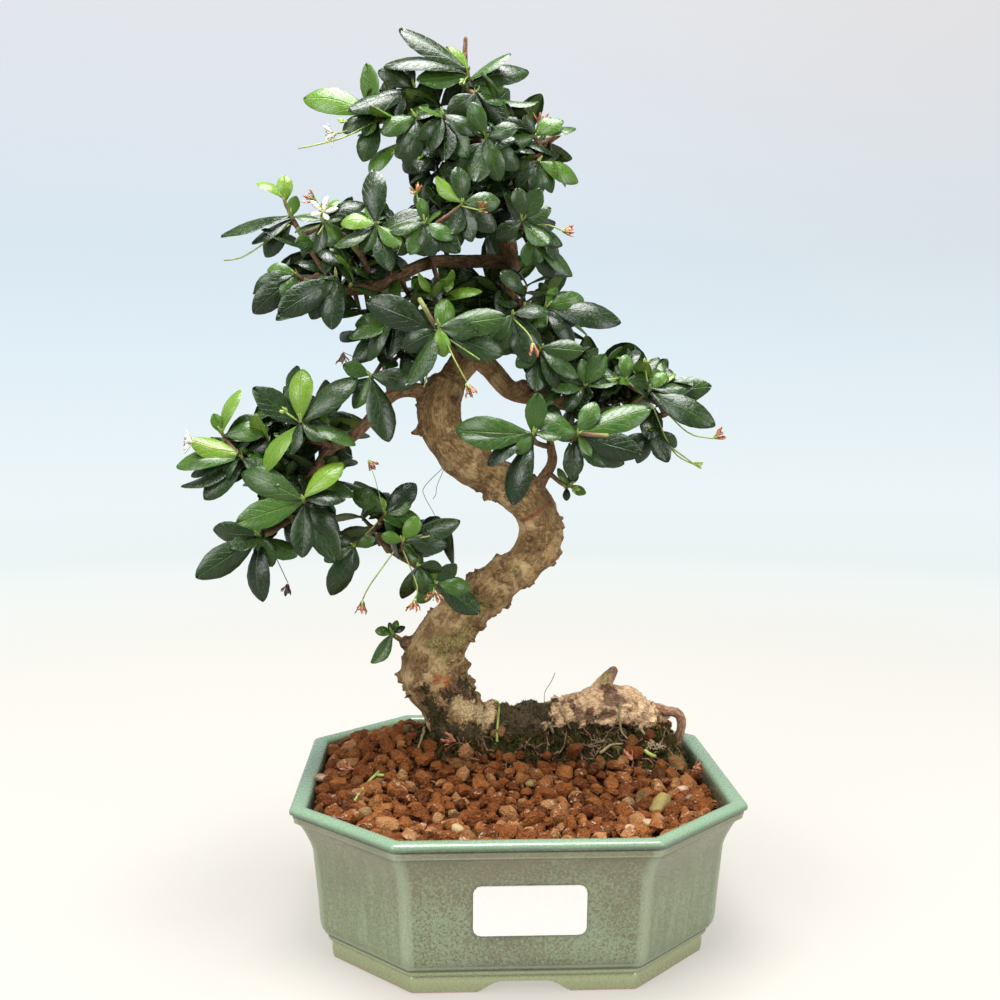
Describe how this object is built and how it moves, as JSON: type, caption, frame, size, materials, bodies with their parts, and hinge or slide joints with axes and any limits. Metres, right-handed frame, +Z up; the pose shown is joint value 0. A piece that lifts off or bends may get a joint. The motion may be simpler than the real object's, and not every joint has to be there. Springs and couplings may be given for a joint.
{
  "type": "fukien tea bonsai",
  "caption": "Small evergreen tree with a curving trunk, a surface root and leafy sprays, in a low eight-sided glazed pot of granular soil.",
  "frame": {"origin": "on the surface it stands on, under the middle of the whole plant's bounding box; the pot's own centre is 24.85 mm along +X from it", "axes": "+Z up, the front with the label at -Y, the surface root towards +X"},
  "size_m": [0.2347, 0.185, 0.3828],
  "materials": {
    "glaze": "mottled green glaze",
    "paper": "blank white label",
    "net": "black plastic net",
    "soil": "dry clay granules",
    "bark": "rough pale bark",
    "foliage": "glossy dark green leaves",
    "petal": "cream petals",
    "spent_bloom": "dry brown petals"
  },
  "bodies": {
    "root": {"bloom_open_crown": "petal", "bloom_open_left": "petal", "bloom_open_pad": "petal", "bloom_spent_far": "spent_bloom", "bloom_spent_front": "spent_bloom", "bloom_spent_inner": "spent_bloom", "bloom_spent_left": "spent_bloom", "bloom_spent_low": "spent_bloom", "bloom_spent_low_inner": "spent_bloom", "bloom_spent_low_left": "spent_bloom", "bloom_spent_middle": "spent_bloom", "bloom_spent_right": "spent_bloom", "bloom_spent_top": "spent_bloom", "bloom_spent_upper": "spent_bloom", "drain_net_left": "net", "drain_net_right": "net", "label": "paper", "pot": "glaze", "soil": "soil", "spray_back_crown": "foliage", "spray_back_left": "foliage", "spray_back_left_low": "foliage", "spray_back_low_left": "foliage", "spray_back_middle": "foliage", "spray_back_right": "foliage", "spray_back_upper": "foliage", "spray_back_upper_left": "foliage", "spray_crown_left": "foliage", "spray_crown_middle": "foliage", "spray_crown_right": "foliage", "spray_crown_top": "foliage", "spray_left_far": "foliage", "spray_left_low": "foliage", "spray_left_middle": "foliage", "spray_left_top": "foliage", "spray_low_left_inner": "foliage", "spray_low_left_middle": "foliage", "spray_low_left_tip": "foliage", "spray_low_right_inner": "foliage", "spray_low_right_outer": "foliage", "spray_low_right_twig": "foliage", "spray_middle_front": "foliage", "spray_middle_left": "foliage", "spray_middle_right": "foliage", "spray_right_far": "foliage", "spray_right_inner": "foliage", "spray_right_under": "foliage", "spray_sprout": "foliage", "spray_upper_left_front": "foliage", "spray_upper_left_low": "foliage", "spray_upper_left_tip": "foliage", "spray_upper_middle": "foliage", "spray_upper_right": "foliage", "wood": "bark"}
  },
  "joints": []
}
